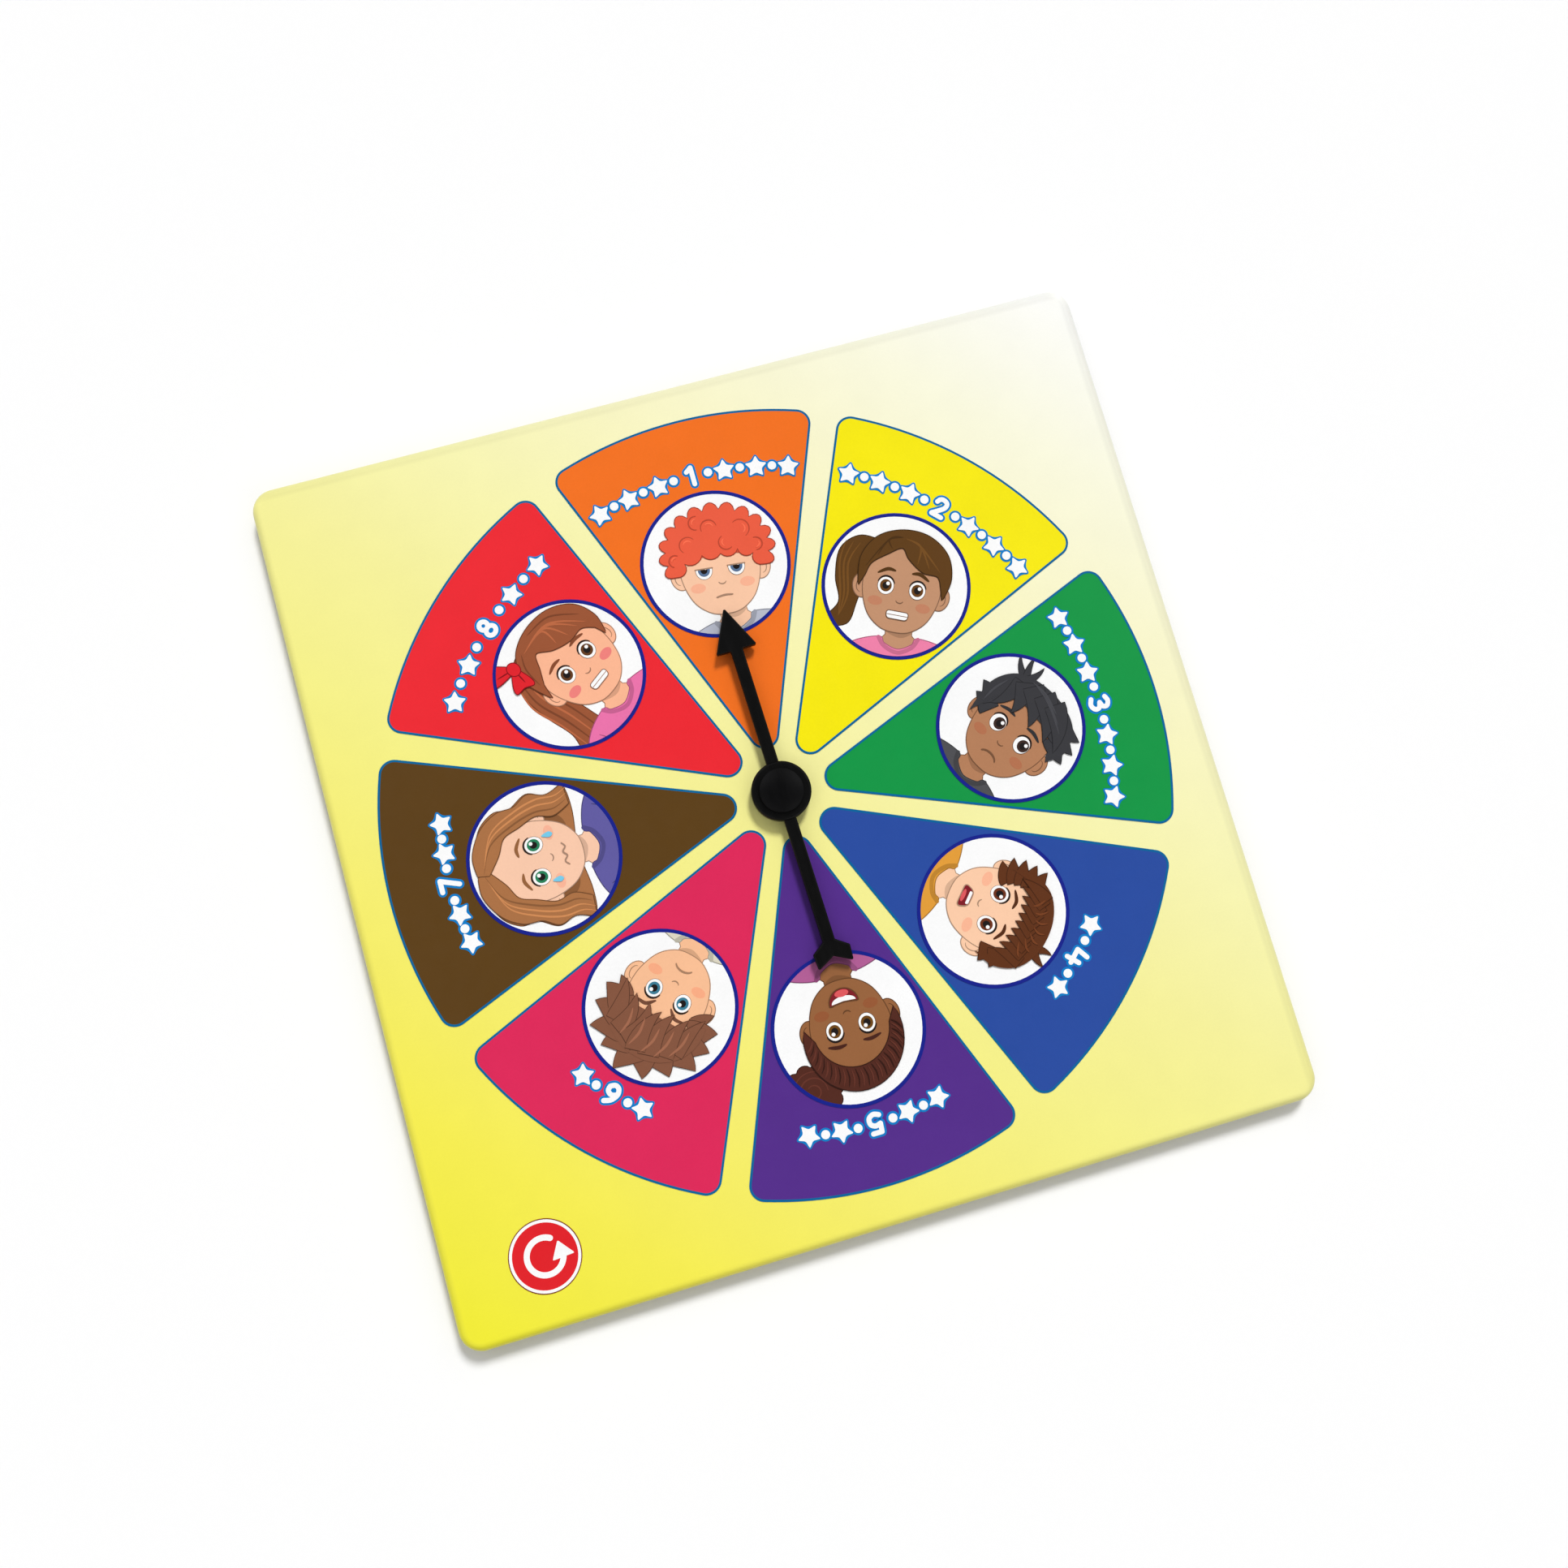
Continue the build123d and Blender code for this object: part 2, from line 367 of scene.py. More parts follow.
def rounded(points, radius, steps=5):
    """A polygon with each corner cut by a curve that starts radius before it."""
    curve = []
    for before, corner, after in zip(points[-1:] + points[:-1], points, points[1:] + points[:1]):
        reach_in = min(radius, abs(before - corner) * 0.45)
        reach_out = min(radius, abs(after - corner) * 0.45)
        start = corner + (before - corner) / abs(before - corner) * reach_in
        end = corner + (after - corner) / abs(after - corner) * reach_out
        for step in range(steps + 1):
            t = step / steps
            curve.append(start * (1 - t) ** 2 + 2 * corner * t * (1 - t) + end * t**2)
    return curve


def star(centre, outer, inner, radius, turn=90, tips=5):
    """A star with rounded corners, its first tip at turn degrees."""
    points = []
    for step in range(2 * tips):
        reach = inner if step % 2 else outer
        points.append(centre + reach * direction(turn + 180 * step / tips))
    return rounded(points, radius)


def bumps(points, height, steps=6):
    """Replaces each straight run by a round bump to its right."""
    curve = []
    for start, end in zip(points, points[1:]):
        out = (end - start) * -1j / abs(end - start)
        for step in range(steps):
            t = step / steps
            curve.append(start + (end - start) * t + out * height * math.sin(math.pi * t) ** 0.7)
    return curve + [points[-1]]


def stroke(path, width, taper=0.0):
    """The outline of a brush stroke with round ends. Taper thins it towards both ends."""
    count = len(path)
    left, right = [], []
    for index, point in enumerate(path):
        ahead = path[min(index + 1, count - 1)]
        behind = path[max(index - 1, 0)]
        normal = (ahead - behind) * 1j / abs(ahead - behind)
        along = index / (count - 1)
        half = width / 2 * (1 - taper * abs(2 * along - 1) ** 2)
        left.append(point + normal * half)
        right.append(point - normal * half)

    def cap(end, first):
        """Half a circle round an end, from first."""
        return [end + (first - end) * direction(-30 * step) for step in range(1, 6)]

    return left + cap(path[-1], left[-1]) + right[::-1] + cap(path[0], right[0])


def grown(outline, distance):
    """A closed outline moved outwards by that distance."""
    side = 1j if area(outline) < 0 else -1j
    moved = []
    for before, point, after in zip(outline[-1:] + outline[:-1], outline, outline[1:] + outline[:1]):
        run = after - before
        moved.append(point + run / (abs(run) or 1) * side * distance)
    return moved


def clipped(outline, radius, sides=90):
    """The part of an outline that lies inside a round frame about 0."""
    for side in range(sides):
        out = direction(360 * side / sides).conjugate()
        kept = []
        for before, point in zip(outline[-1:] + outline[:-1], outline):
            first, second = (before * out).real - radius, (point * out).real - radius
            if first * second < 0:
                kept.append(before + (point - before) * first / (first - second))
            if second <= 0:
                kept.append(point)
        outline = kept
    return outline


def area(outline):
    """Positive where the outline runs counter-clockwise."""
    return sum((a.conjugate() * b).imag for a, b in zip(outline, outline[1:] + outline[:1])) / 2


# ---------------------------------------------------------------- ink on the board


class Print:
    """Ink on one spot of the board. Each shape lies a hair above the one drawn before it, and the shapes
    of one colour become one piece."""

    # The first shape's height above the label, and how much higher each next one lies.
    FIRST_LIFT = 0.01
    LIFT = 0.006
    # Points closer together than this become one.
    SHORTEST = 0.012

    def __init__(self, name, label, slot, centre=0, turn=0, clip=None):
        self.name = name
        self.slot = slot
        self.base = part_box(label)[1].z / MM
        self.top = self.base + self.FIRST_LIFT
        self.centre = centre
        self.turn = direction(turn)
        self.clip = clip
        self.inks = {}
        self.meshes = {}
        self.at(0)

    def at(self, offset, turn=0, scale=1):
        """Where the next shapes go, in the print's own frame."""
        self.offset = offset
        self.spin = direction(turn) * scale

    def placed(self, outline):
        """The outline on the board, cut off at the print's edge and without needless points."""
        outline = [point * self.spin + self.offset for point in outline]
        if self.clip and max(abs(point) for point in outline) > self.clip:
            outline = clipped(outline, self.clip)
        points = []
        for point in outline:
            if not points or abs(point - points[-1]) > self.SHORTEST:
                points.append(point)
        while len(points) > 2 and abs(points[0] - points[-1]) <= self.SHORTEST:
            points.pop()
        return [point * self.turn + self.centre for point in points]

    def verts(self, ink_name, outline, height):
        """New vertices along an outline, in the mesh of that ink."""
        if ink_name not in self.meshes:
            self.meshes[ink_name] = bmesh.new()
        mesh = self.meshes[ink_name]
        return [mesh.verts.new((p.real * MM, p.imag * MM, height * MM)) for p in outline]

    def walls(self, ink_name, lower, upper):
        """Faces between two loops of vertices."""
        mesh = self.meshes[ink_name]
        for index in range(len(lower)):
            after = (index + 1) % len(lower)
            mesh.faces.new((lower[index], lower[after], upper[after], upper[index]))

    def fill(self, ink_name, outline):
        """One solid area of ink."""
        outline = self.placed(outline)
        if len(outline) < 3:
            return
        if area(outline) < 0:
            outline.reverse()
        upper = self.verts(ink_name, outline, self.top)
        lower = self.verts(ink_name, outline, self.base)
        self.meshes[ink_name].faces.new(upper)
        self.meshes[ink_name].faces.new(lower[::-1])
        self.walls(ink_name, lower, upper)
        self.top += self.LIFT

    def ring(self, ink_name, outline, width, foot=None):
        """A line that runs all along a closed outline, centred on it. Its walls start at foot."""
        foot = self.base if foot is None else foot
        if area(outline) < 0:
            outline = outline[::-1]
        outline = [(point * self.spin + self.offset) * self.turn + self.centre for point in outline]
        loops = []
        for distance in (width / 2, -width / 2):
            loop = grown(outline, distance)
            loops.append((self.verts(ink_name, loop, foot), self.verts(ink_name, loop, self.top)))
        (outer_low, outer_high), (inner_low, inner_high) = loops
        self.walls(ink_name, outer_low, outer_high)
        self.walls(ink_name, outer_high, inner_high)
        self.walls(ink_name, inner_high, inner_low)
        self.walls(ink_name, inner_low, outer_low)
        self.top += self.LIFT

    def line(self, ink_name, path, width, taper=0.0):
        """A brush stroke along a path."""
        self.fill(ink_name, stroke(path, width, taper))

    def shape(self, ink_name, outline, line=0.2):
        """An area with a thin darker line round it."""
        self.fill(f"{ink_name}_line", grown(outline, line))
        self.fill(ink_name, outline)

    def finish(self):
        """Turns each ink's mesh into a piece that rides on the board."""
        for ink_name, mesh in self.meshes.items():
            mesh.normal_update()
            bmesh.ops.triangulate(mesh, faces=[face for face in mesh.faces if len(face.verts) > 4])
            data = bpy.data.meshes.new(f"{self.name}_{ink_name}")
            mesh.to_mesh(data)
            mesh.free()
            piece = bpy.data.objects.new(data.name, data)
            bpy.context.scene.collection.objects.link(piece)
            data.materials.append(ink_material(self.inks[ink_name]))
            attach(piece, "board")


ink_materials = {}


def ink_material(colour):
    """One material for each colour of ink."""
    if colour not in ink_materials:
        ink_materials[colour] = ink(f"{len(ink_materials):02d}", colour)
    return ink_materials[colour]


# ---------------------------------------------------------------- sectors: outlines, rings and numbers

SECTOR_LINE = 0.52
# The rows of marks: their distance from the pivot, the digits' stroke and the blue edge round each mark.
LETTER_RADIUS = 77.2
LETTER_STROKE = 1.12
LETTER_EDGE = 0.5
DOT_WIDTH = 2.0
STAR_OUTER = 2.75
STAR_INNER = 1.38
STAR_ROUND = 0.5
# The room for half a digit, and for a dot with its star.
HALF_DIGIT = 2.4
DOT_AND_STAR = 8.2
# How far round the arc each sector's row of marks reaches.
ROW_LENGTHS = (50, 50, 48, 20, 34, 19, 31, 42)

# Brush strokes of each digit, about 4 mm high, with 0 at its middle.
DIGITS = {
    1: [[-0.75 + 1.15j, 0.45 + 2.05j], [0.45 + 2.05j, 0.45 - 2.05j]],
    2: [
        smooth(
            [-1.25 + 1.05j, -0.8 + 1.85j, 0.1 + 2.08j, 1.05 + 1.6j, 1.05 + 0.5j, 0.1 - 0.7j, -1.2 - 2.0j]
        ),
        [-1.2 - 2.05j, 1.3 - 2.05j],
    ],
    3: [
        smooth([-1.15 + 1.65j, -0.1 + 2.08j, 1.0 + 1.6j, 0.95 + 0.6j, -0.1 + 0.12j]),
        smooth([-0.1 + 0.12j, 1.1 - 0.35j, 1.2 - 1.4j, 0.1 - 2.08j, -1.25 - 1.65j]),
    ],
    4: [[-1.15 + 2.05j, -1.65 - 0.6j], [-1.65 - 0.65j, 1.7 - 0.65j], [0.9 + 1.0j, 0.9 - 2.05j]],
    5: [
        [1.1 + 2.05j, -0.9 + 2.05j],
        [-0.9 + 2.05j, -1.05 + 0.2j],
        smooth([-1.05 + 0.2j, 0.1 + 0.5j, 1.15 - 0.1j, 1.15 - 1.4j, 0.05 - 2.08j, -1.2 - 1.7j]),
    ],
    6: [
        smooth([0.9 + 2.05j, -0.5 + 1.1j, -1.2 - 0.5j, -0.8 - 1.75j, 0.2 - 2.08j, 1.15 - 1.4j]),
        smooth([1.15 - 1.4j, 1.1 - 0.4j, 0.2 + 0.15j, -0.8 - 0.2j, -1.2 - 0.8j]),
    ],
    7: [[-1.3 + 2.05j, 1.3 + 2.05j], [1.3 + 2.05j, -0.4 - 2.05j]],
    8: [ellipse(1.05j, 0.98, 1.0) + [0.98 + 1.05j], ellipse(-0.98j, 1.2, 1.08) + [1.2 - 0.98j]],
}


def clockwise(number):
    """How far a sector is turned from +Y, in degrees. Sectors count clockwise from 1."""
    return -(number - 1) * 360 / SECTORS


def top_outline(node):
    """The edge of a label's top face, in millimetres."""
    mesh = bmesh.new()
    mesh.from_mesh(nodes[node].data)
    bmesh.ops.remove_doubles(mesh, verts=mesh.verts, dist=0.001 * MM)
    top = max(vertex.co.z for vertex in mesh.verts) - 0.01 * MM
    rim = {}
    for face in mesh.faces:
        if face.normal.z < 0.5:
            continue
        for loop in face.loops:
            edge = loop.edge
            if any(other.normal.z < 0.5 for other in edge.link_faces) and edge.verts[0].co.z > top:
                rim[loop.vert] = loop.link_loop_next.vert
    start = vertex = next(iter(rim))
    outline = []
    while vertex is not start or not outline:
        outline.append(complex(vertex.co.x, vertex.co.y) / MM)
        vertex = rim[vertex]
    mesh.free()
    return outline


def draw_sector(number):
    """The thin line round a sector, and its row of marks with its number in the middle."""
    name = f"sector_{number}"
    label = f"sector_label_{number}"
    art = Print(name, label, "portrait_print")
    art.inks = {"line": OUTLINE_BLUE}
    art.ring("line", top_outline(label), SECTOR_LINE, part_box(label)[0].z / MM)
    art.finish()

    row = Print(f"{name}_row", label, "portrait_print", turn=clockwise(number))
    row.inks = {"edge": LETTER_BLUE, "white": WHITE_INK}
    marks = row_of_marks(number)
    for ink_name, extra in (("edge", 2 * LETTER_EDGE), ("white", 0)):
        for kind, along in marks:
            row.at(LETTER_RADIUS * direction(90 - along), -along)
            draw_mark(row, kind, number, ink_name, extra)
    row.finish()


def row_of_marks(number):
    """Kind and angle of each mark: the number in the middle, then dots and stars by turns."""
    half = ROW_LENGTHS[number - 1] / 2
    steps = max(2, 2 * round((half - HALF_DIGIT) / DOT_AND_STAR))
    marks = [("digit", 0.0)]
    for step in range(1, steps + 1):
        angle = math.degrees(half * (step + 0.1) / (steps + 0.6) / LETTER_RADIUS)
        kind = "dot" if step % 2 else "star"
        marks += [(kind, angle), (kind, -angle)]
    return marks


def draw_mark(row, kind, number, ink_name, extra):
    """A digit, dot or star, made bigger by extra for the coloured edge behind it."""
    if kind == "dot":
        row.fill(ink_name, ellipse(0, (DOT_WIDTH + extra) / 2))
    elif kind == "star":
        outer = STAR_OUTER + extra * 0.62
        row.fill(ink_name, star(-0.15j, outer, STAR_INNER + extra * 0.5, STAR_ROUND + extra * 0.5))
    else:
        for path in DIGITS[number]:
            if path[0] != path[-1]:
                row.line(ink_name, path, LETTER_STROKE + extra)
            elif extra:
                row.fill(ink_name, grown(path[:-1], (LETTER_STROKE + extra) / 2))
            else:
                row.ring(ink_name, path[:-1], LETTER_STROKE)


# ---------------------------------------------------------------- portraits

# A plain face, drawn from the front: 0 is midway between the eyes, and the chin is at -9.4j.
FACE = [-9.4j, 3.3 - 8.8j, 6.4 - 6.2j, 8.2 - 1.8j, 8.5 + 2.6j, 7.6 + 7.0j, 4.6 + 10.0j, 11.0j]
# The pictures end under their rings.
CLIP = 16.7
# The ring covers the label's own white edge.
RING_RADIUS = 17.1
RING_LINE = 0.84


class Portrait(Print):
    """A generic child's head and shoulders in a round frame."""

    def __init__(self, number, look):
        label = f"portrait_label_{number}"
        super().__init__(f"portrait_{number}", label, "portrait_print", clip=CLIP)
        low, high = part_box(label)
        self.foot = low.z / MM
        self.centre = complex(low.x + high.x, low.y + high.y) / 2 / MM
        self.turn = direction(-look["up"])
        skin, hair, shirt = look["skin"], look["hair"], look["shirt"]
        self.inks = {
            "ring": RING_NAVY,
            "skin": skin,
            "skin_line": shade(skin, 0.42),
            "skin_dark": shade(skin, 0.72),
            "blush": look.get("blush", tuple(a * b for a, b in zip(skin, (1.0, 0.79, 0.77, 1.0)))),
            "hair": hair,
            "hair_line": shade(hair, 0.4),
            "hair_dark": shade(hair, 0.62),
            "hair_light": shade(hair, 1.55),
            "brow": shade(hair, 0.75),
            "shirt": shirt,
            "shirt_line": shade(shirt, 0.45),
            "shirt_dark": shade(shirt, 0.68),
            "white": WHITE_INK,
            "white_line": shade(skin, 0.3),
            "black": BLACK_INK,
            "iris": look["iris"],
            "mouth": srgb(130, 30, 40),
            "tongue": srgb(225, 90, 95),
            "tear": srgb(120, 205, 235),
            "bow": srgb(225, 35, 45),
            "bow_line": srgb(140, 15, 25),
        }
        self.look = look
        self.head = look["head"]
        self.size = look["size"]

    def on_head(self):
        """The next shapes go on the head, and tilt with it."""
        self.at(self.head, self.look["tilt"], self.size)

    def draw(self):
        """The whole picture, from the back to the front."""
        self.ring("ring", ellipse(0, RING_RADIUS, steps=72), RING_LINE, self.foot)
        self.on_head()
        self.look["behind"](self)
        self.draw_shoulders()
        self.on_head()
        self.draw_face()
        self.draw_eyes()
        self.draw_mouth()
        self.look["front"](self)
        self.finish()

    def draw_shoulders(self):
        """Neck and shirt. They stand upright however the head tilts."""
        self.at(self.head + 1.1j, 0, self.size)
        neck = [5 - 18j, 5.2 - 13.5j, 2.8 - 11j, 2.9 - 6j]
        self.shape("skin", mirrored(neck))
        under_chin = [-2.8 - 9j, 2.8 - 9j, 2.7 - 10.6j, 0.3 - 11.6j, -2.7 - 10.4j]
        self.fill("skin_dark", smooth(under_chin, closed=True))
        half = [-22j, 15 - 22j, 13.4 - 16.2j, 9.6 - 13.0j, 4.2 - 11.6j, 3.0 - 13.0j, -14.2j]
        self.shape("shirt", smooth(mirrored(half)[1:]))
        collar = [-4.3 - 11.7j, -3.0 - 13.6j, -14.9j, 3.0 - 13.6j, 4.3 - 11.7j]
        self.line("shirt_dark", smooth(collar), 0.9)
        for side in (-1, 1):
            fold = smooth([side * 8.8 - 14.6j, side * 8.0 - 17.0j, side * 8.6 - 20j])
            self.line("shirt_line", fold, 0.24, 0.5)

    def draw_face(self):
        """Ears, head, cheeks and nose."""
        for side in (-1, 1):
            self.shape("skin", ellipse(side * 8.7 - 0.4j, 1.9, 2.6, -side * 10))
            self.line("skin_line", arc(side * 8.9 - 0.4j, 0.95, 1.5, 90, 90 - side * 180), 0.22, 0.5)
        self.shape("skin", smooth(mirrored(FACE), closed=True))
        for side in (-1, 1):
            self.fill("blush", ellipse(side * 5.3 - 3.2j, 1.6, 1.05))
        self.line("skin_line", arc(-2.2j, 0.85, 0.75, 205, 335), 0.3, 0.4)

    def draw_eyes(self):
        """Eyes and brows. A lid above 0 covers the eyes from above."""
        gaze = self.look.get("gaze", 0)
        lid = self.look.get("lid", 0)
        inner, outer = self.look["brows"]
        for side in (-1, 1):
            centre = side * 3.5 + 0.5j
            self.fill("white_line", ellipse(centre, 1.86, 2.06))
            self.fill("white", ellipse(centre - 0.04j, 1.74, 1.92))
            self.fill("iris", ellipse(centre + gaze, 1.3, 1.38))
            self.fill("black", ellipse(centre + gaze, 0.74, 0.8))
            self.fill("white", ellipse(centre + gaze + 0.42 + 0.5j, 0.4))
            if lid:
                edge = centre + (1.9 - lid) * 0.4j
                self.fill("skin", arc(centre, 2.0, 2.25, 5, 175) + [edge - 1.9, edge + 1.9])
                self.line("skin_line", [edge - 1.85, edge + 1.85], 0.3)
            else:
                self.line("black", arc(centre, 1.95, 2.15, 20, 160), 0.36, 0.6)
            middle = side * 3.6 + max(inner, outer) * 1j + 0.15j
            brow = [side * 1.9 + inner * 1j, middle, side * 5.6 + outer * 1j]
            self.line("brow", smooth(brow), 0.75, 0.6)

    def draw_mouth(self):
        """One of six plain mouths."""
        kind = self.look["mouth"]
        if kind == "flat":
            self.line("skin_line", smooth([-1.7 - 5.7j, -5.4j, 1.7 - 5.5j]), 0.36, 0.3)
        elif kind == "frown":
            self.line("skin_line", arc(-6.9j, 2.1, 1.4, 25, 155), 0.4, 0.3)
        elif kind == "wave":
            path = smooth([-2.4 - 5.9j, -1.5 - 5.2j, -0.5 - 5.9j, 0.5 - 5.2j, 1.5 - 5.9j, 2.4 - 5.3j])
            self.line("skin_line", path, 0.38, 0.3)
        elif kind == "teeth":
            outline = rounded([-2.4 - 4.9j, 2.4 - 4.9j, 2.2 - 6.5j, -2.2 - 6.5j], 0.7)
            self.shape("white", outline)
            self.line("skin_line", [-2.2 - 5.7j, 2.2 - 5.7j], 0.16)
        elif kind == "open":
            lips = rounded([-1.6 - 4.7j, 1.6 - 4.7j, 2.5 - 6.9j, -2.5 - 6.9j], 0.9)
            self.fill("skin_line", grown(lips, 0.22))
            self.fill("mouth", lips)
            self.fill("white", rounded([-1.35 - 4.8j, 1.35 - 4.8j, 1.5 - 5.45j, -1.5 - 5.45j], 0.3))
            self.fill("tongue", ellipse(-6.45j, 1.4, 0.42))
        elif kind == "smile":
            lips = arc(-4.6j, 3.0, 3.0, 180, 360) + smooth([3.0 - 4.6j, -5.0j, -3.0 - 4.6j])[1:-1]
            self.fill("skin_line", grown(lips, 0.25))
            self.fill("mouth", lips)
            self.fill("white", arc(-4.8j, 2.6, 1.3, 180, 360) + [-5.05j])
            self.fill("tongue", arc(-6.7j, 1.5, 0.75, 0, 360)[:-1])

    def strands(self, ink_name, paths, width=0.45):
        """Thin strokes that end in points, for hair."""
        for path in paths:
            self.line(ink_name, smooth(path), width, 0.9)


def nothing(portrait):
    """No hair behind the head."""


def curly_hair(p):
    """A round mop of curls over the forehead and ears."""
    mop = bumps(arc(4.4j, 10.9, 8.9, -30, 210, 13), 1.7)
    hairline = [-9.4 - 0.1j, -7.4 + 2.6j, -3.4 + 3.9j, 0.6 + 3.7j, 4.4 + 4.2j, 7.6 + 2.8j, 9.4 - 0.1j]
    p.shape("hair", mop + bumps(hairline, 1.1)[1:-1])
    curls = [
        (-6 + 6.4j, 1.8, 40),
        (5.6 + 8.4j, 2.0, -60),
        (-1 + 9.6j, 1.7, 10),
        (2.2 + 5.9j, 1.6, 120),
        (-3.6 + 11.0j, 1.5, 80),
        (8.4 + 4.6j, 1.4, -90),
        (-9.2 + 3.4j, 1.3, 60),
    ]
    for centre, size, start in curls:
        p.line("hair_dark", arc(centre, size, size, start, start + 190), 0.3, 0.5)
        p.line("hair_light", arc(centre, size * 0.55, size * 0.55, start, start + 120), 0.3, 0.6)


def ponytail_behind(p):
    """A tail of hair that hangs beside the head."""
    outer = [-5 + 9j, -10.5 + 10.6j, -14.6 + 7j, -14.6 + 0.5j, -13 - 5j, -16 - 10j]
    inner = [-10.6 - 9.4j, -9.2 - 4j, -8 + 3j]
    p.shape("hair", smooth(outer + inner, closed=True))
    for shift in (0, 1.6, 3.2):
        path = [-10.5 + 9j - shift, -12.4 + 4j - shift * 0.6, -11.4 - 3j - shift * 0.5, -12.6 - 8j]
        p.strands("hair_light", [path])


def parted_fringe(p):
    """Straight hair drawn back, with a fringe that parts to one side."""
    crown_right = [9.2 - 0.6j, 10.4 + 4.4j, 8.8 + 9.6j, 4.2 + 13.0j]
    crown_left = [-1.6 + 13.4j, -7 + 11.0j, -9.9 + 6j, -9.5 - 0.4j]
    fringe_left = [-8.4 + 2.2j, -7.4 + 5.0j, -4.2 + 7.6j, -1.2 + 9.4j]
    fringe_right = [0.6 + 7.2j, 4.0 + 4.8j, 7.4 + 4.4j, 8.5 + 2.0j]
    p.shape("hair", smooth(crown_right + crown_left) + smooth(fringe_left + fringe_right))
    for end in (2.6 + 6.2j, 5.4 + 5.6j, 7.8 + 5.4j):
        p.strands("hair_light", [[-0.8 + 11.6j, 2.6 + 10.4j, end]])
    for end in (-3.4 + 8.8j, -6.4 + 6.8j, -8.6 + 4.0j):
        p.strands("hair_dark", [[-1.4 + 11.8j, -4.4 + 10.8j, end]], 0.35)


def lock(p, root, tip, bend, width, ink_name="hair"):
    """A pointed lock of hair that curves from root to tip, bending left of its way for a positive bend."""
    bow = (root + tip) / 2 + (tip - root) * 1j * bend
    left, right = [], []
    for step in range(9):
        t = step / 9
        along = root * (1 - t) ** 2 + 2 * bow * t * (1 - t) + tip * t**2
        out = (bow - root) * (1 - t) + (tip - bow) * t
        out *= 1j * width / 2 * (1 - t**1.7) / abs(out)
        left.append(along + out)
        right.append(along - out)
    p.shape(ink_name, left + [tip] + right[::-1], 0.14)


def swept_fringe(p):
    """Short black hair swept to one side, with a tuft at the crown."""
    for tip, bend in ((-10.2 + 14.6j, 0.2), (-7.6 + 16.2j, 0.12), (-4.6 + 16.0j, -0.2)):
        lock(p, -5.6 + 11.4j, tip, bend, 1.5)
    for angle, reach in ((196, 11.6), (182, 12.1), (4, 12.3), (18, 12.9), (32, 13.1)):
        lock(p, 4.4j + 7.6 * direction(angle + 10), 4.0j + reach * direction(angle - 6), -0.1, 4.4)
    crown_right = [9.6 + 1.4j, 11.2 + 5.4j, 9.4 + 10.4j, 4.4 + 13.0j]
    crown_left = [-2.4 + 13.2j, -8.0 + 11.0j, -10.8 + 5.6j, -9.8 - 2.0j]
    hairline = [-8.7 + 1.2j, -7.8 + 4.4j, -4.6 + 7.4j, 8.4 + 6.4j, 8.6 + 2.8j]
    p.fill("hair", smooth(crown_right + crown_left) + hairline)
    fringe = [
        (-6.0 + 10.4j, -7.6 + 2.4j, 3.4),
        (-5.2 + 10.8j, -3.0 + 3.9j, 4.2),
        (-3.4 + 11.4j, 1.8 + 4.3j, 4.6),
        (-0.4 + 11.8j, 6.2 + 4.2j, 4.8),
        (2.6 + 11.8j, 9.4 + 4.0j, 4.6),
    ]
    for root, tip, width in fringe:
        lock(p, root, tip, 0.2, width)
    for shift in (0, 1.7, 3.4):
        middle = -0.4 + 12.1j + shift * (1 - 0.5j)
        end = 4.2 + 10.6j + shift * (1 - 0.8j)
        p.strands("hair_light", [[-4.4 + 12.0j + shift * 0.8, middle, end]])
    p.strands("hair_light", [[-8.4 + 8.6j, -9.2 + 5.2j, -9.2 + 1.6j]], 0.5)


def short_fringe(p):
    """Short dark hair: a smooth crown, a jagged fringe and a small tuft."""
    for tip, bend in ((3.6 + 15.6j, 0.2), (6.6 + 15.0j, -0.15)):
        lock(p, 4.2 + 11.6j, tip, bend, 1.8)
    sides = ((205, 11.4), (193, 12.2), (181, 12.4), (169, 12.4), (157, 12.6), (-12, 11.2), (2, 11.4))
    for angle, reach in sides:
        lock(p, 4.2j + 7.4 * direction(angle), 3.6j + reach * direction(angle + 3), 0.12, 3.6)
    crown_right = [9.6 + 0.6j, 10.8 + 5.2j, 8.8 + 10.2j, 3.8 + 13.0j]
    crown_left = [-2.6 + 13.2j, -8.0 + 10.6j, -10.4 + 5.6j, -9.4 + 1.0j]
    hairline = [-8.8 + 4.6j, -6.0 + 7.4j, 6.0 + 7.4j, 8.8 + 4.6j]
    p.fill("hair", smooth(crown_right + crown_left) + hairline)
    for x in (7.9, 6.1, 4.3, 2.5, 0.7, -1.1, -2.9, -4.7, -6.5, -8.0):
        lock(p, complex(x * 0.9 + 0.8, 10.2), complex(x - 0.5, 5.9 - 0.035 * x * x), -0.1, 2.8)
    for angle in range(40, 150, 16):
        start, end = 3.6j + 9.0 * direction(angle), 4.4j + 5.4 * direction(angle + 4)
        p.strands("hair_light", [[start, (start + end) / 2 + 0.5, end]], 0.45)


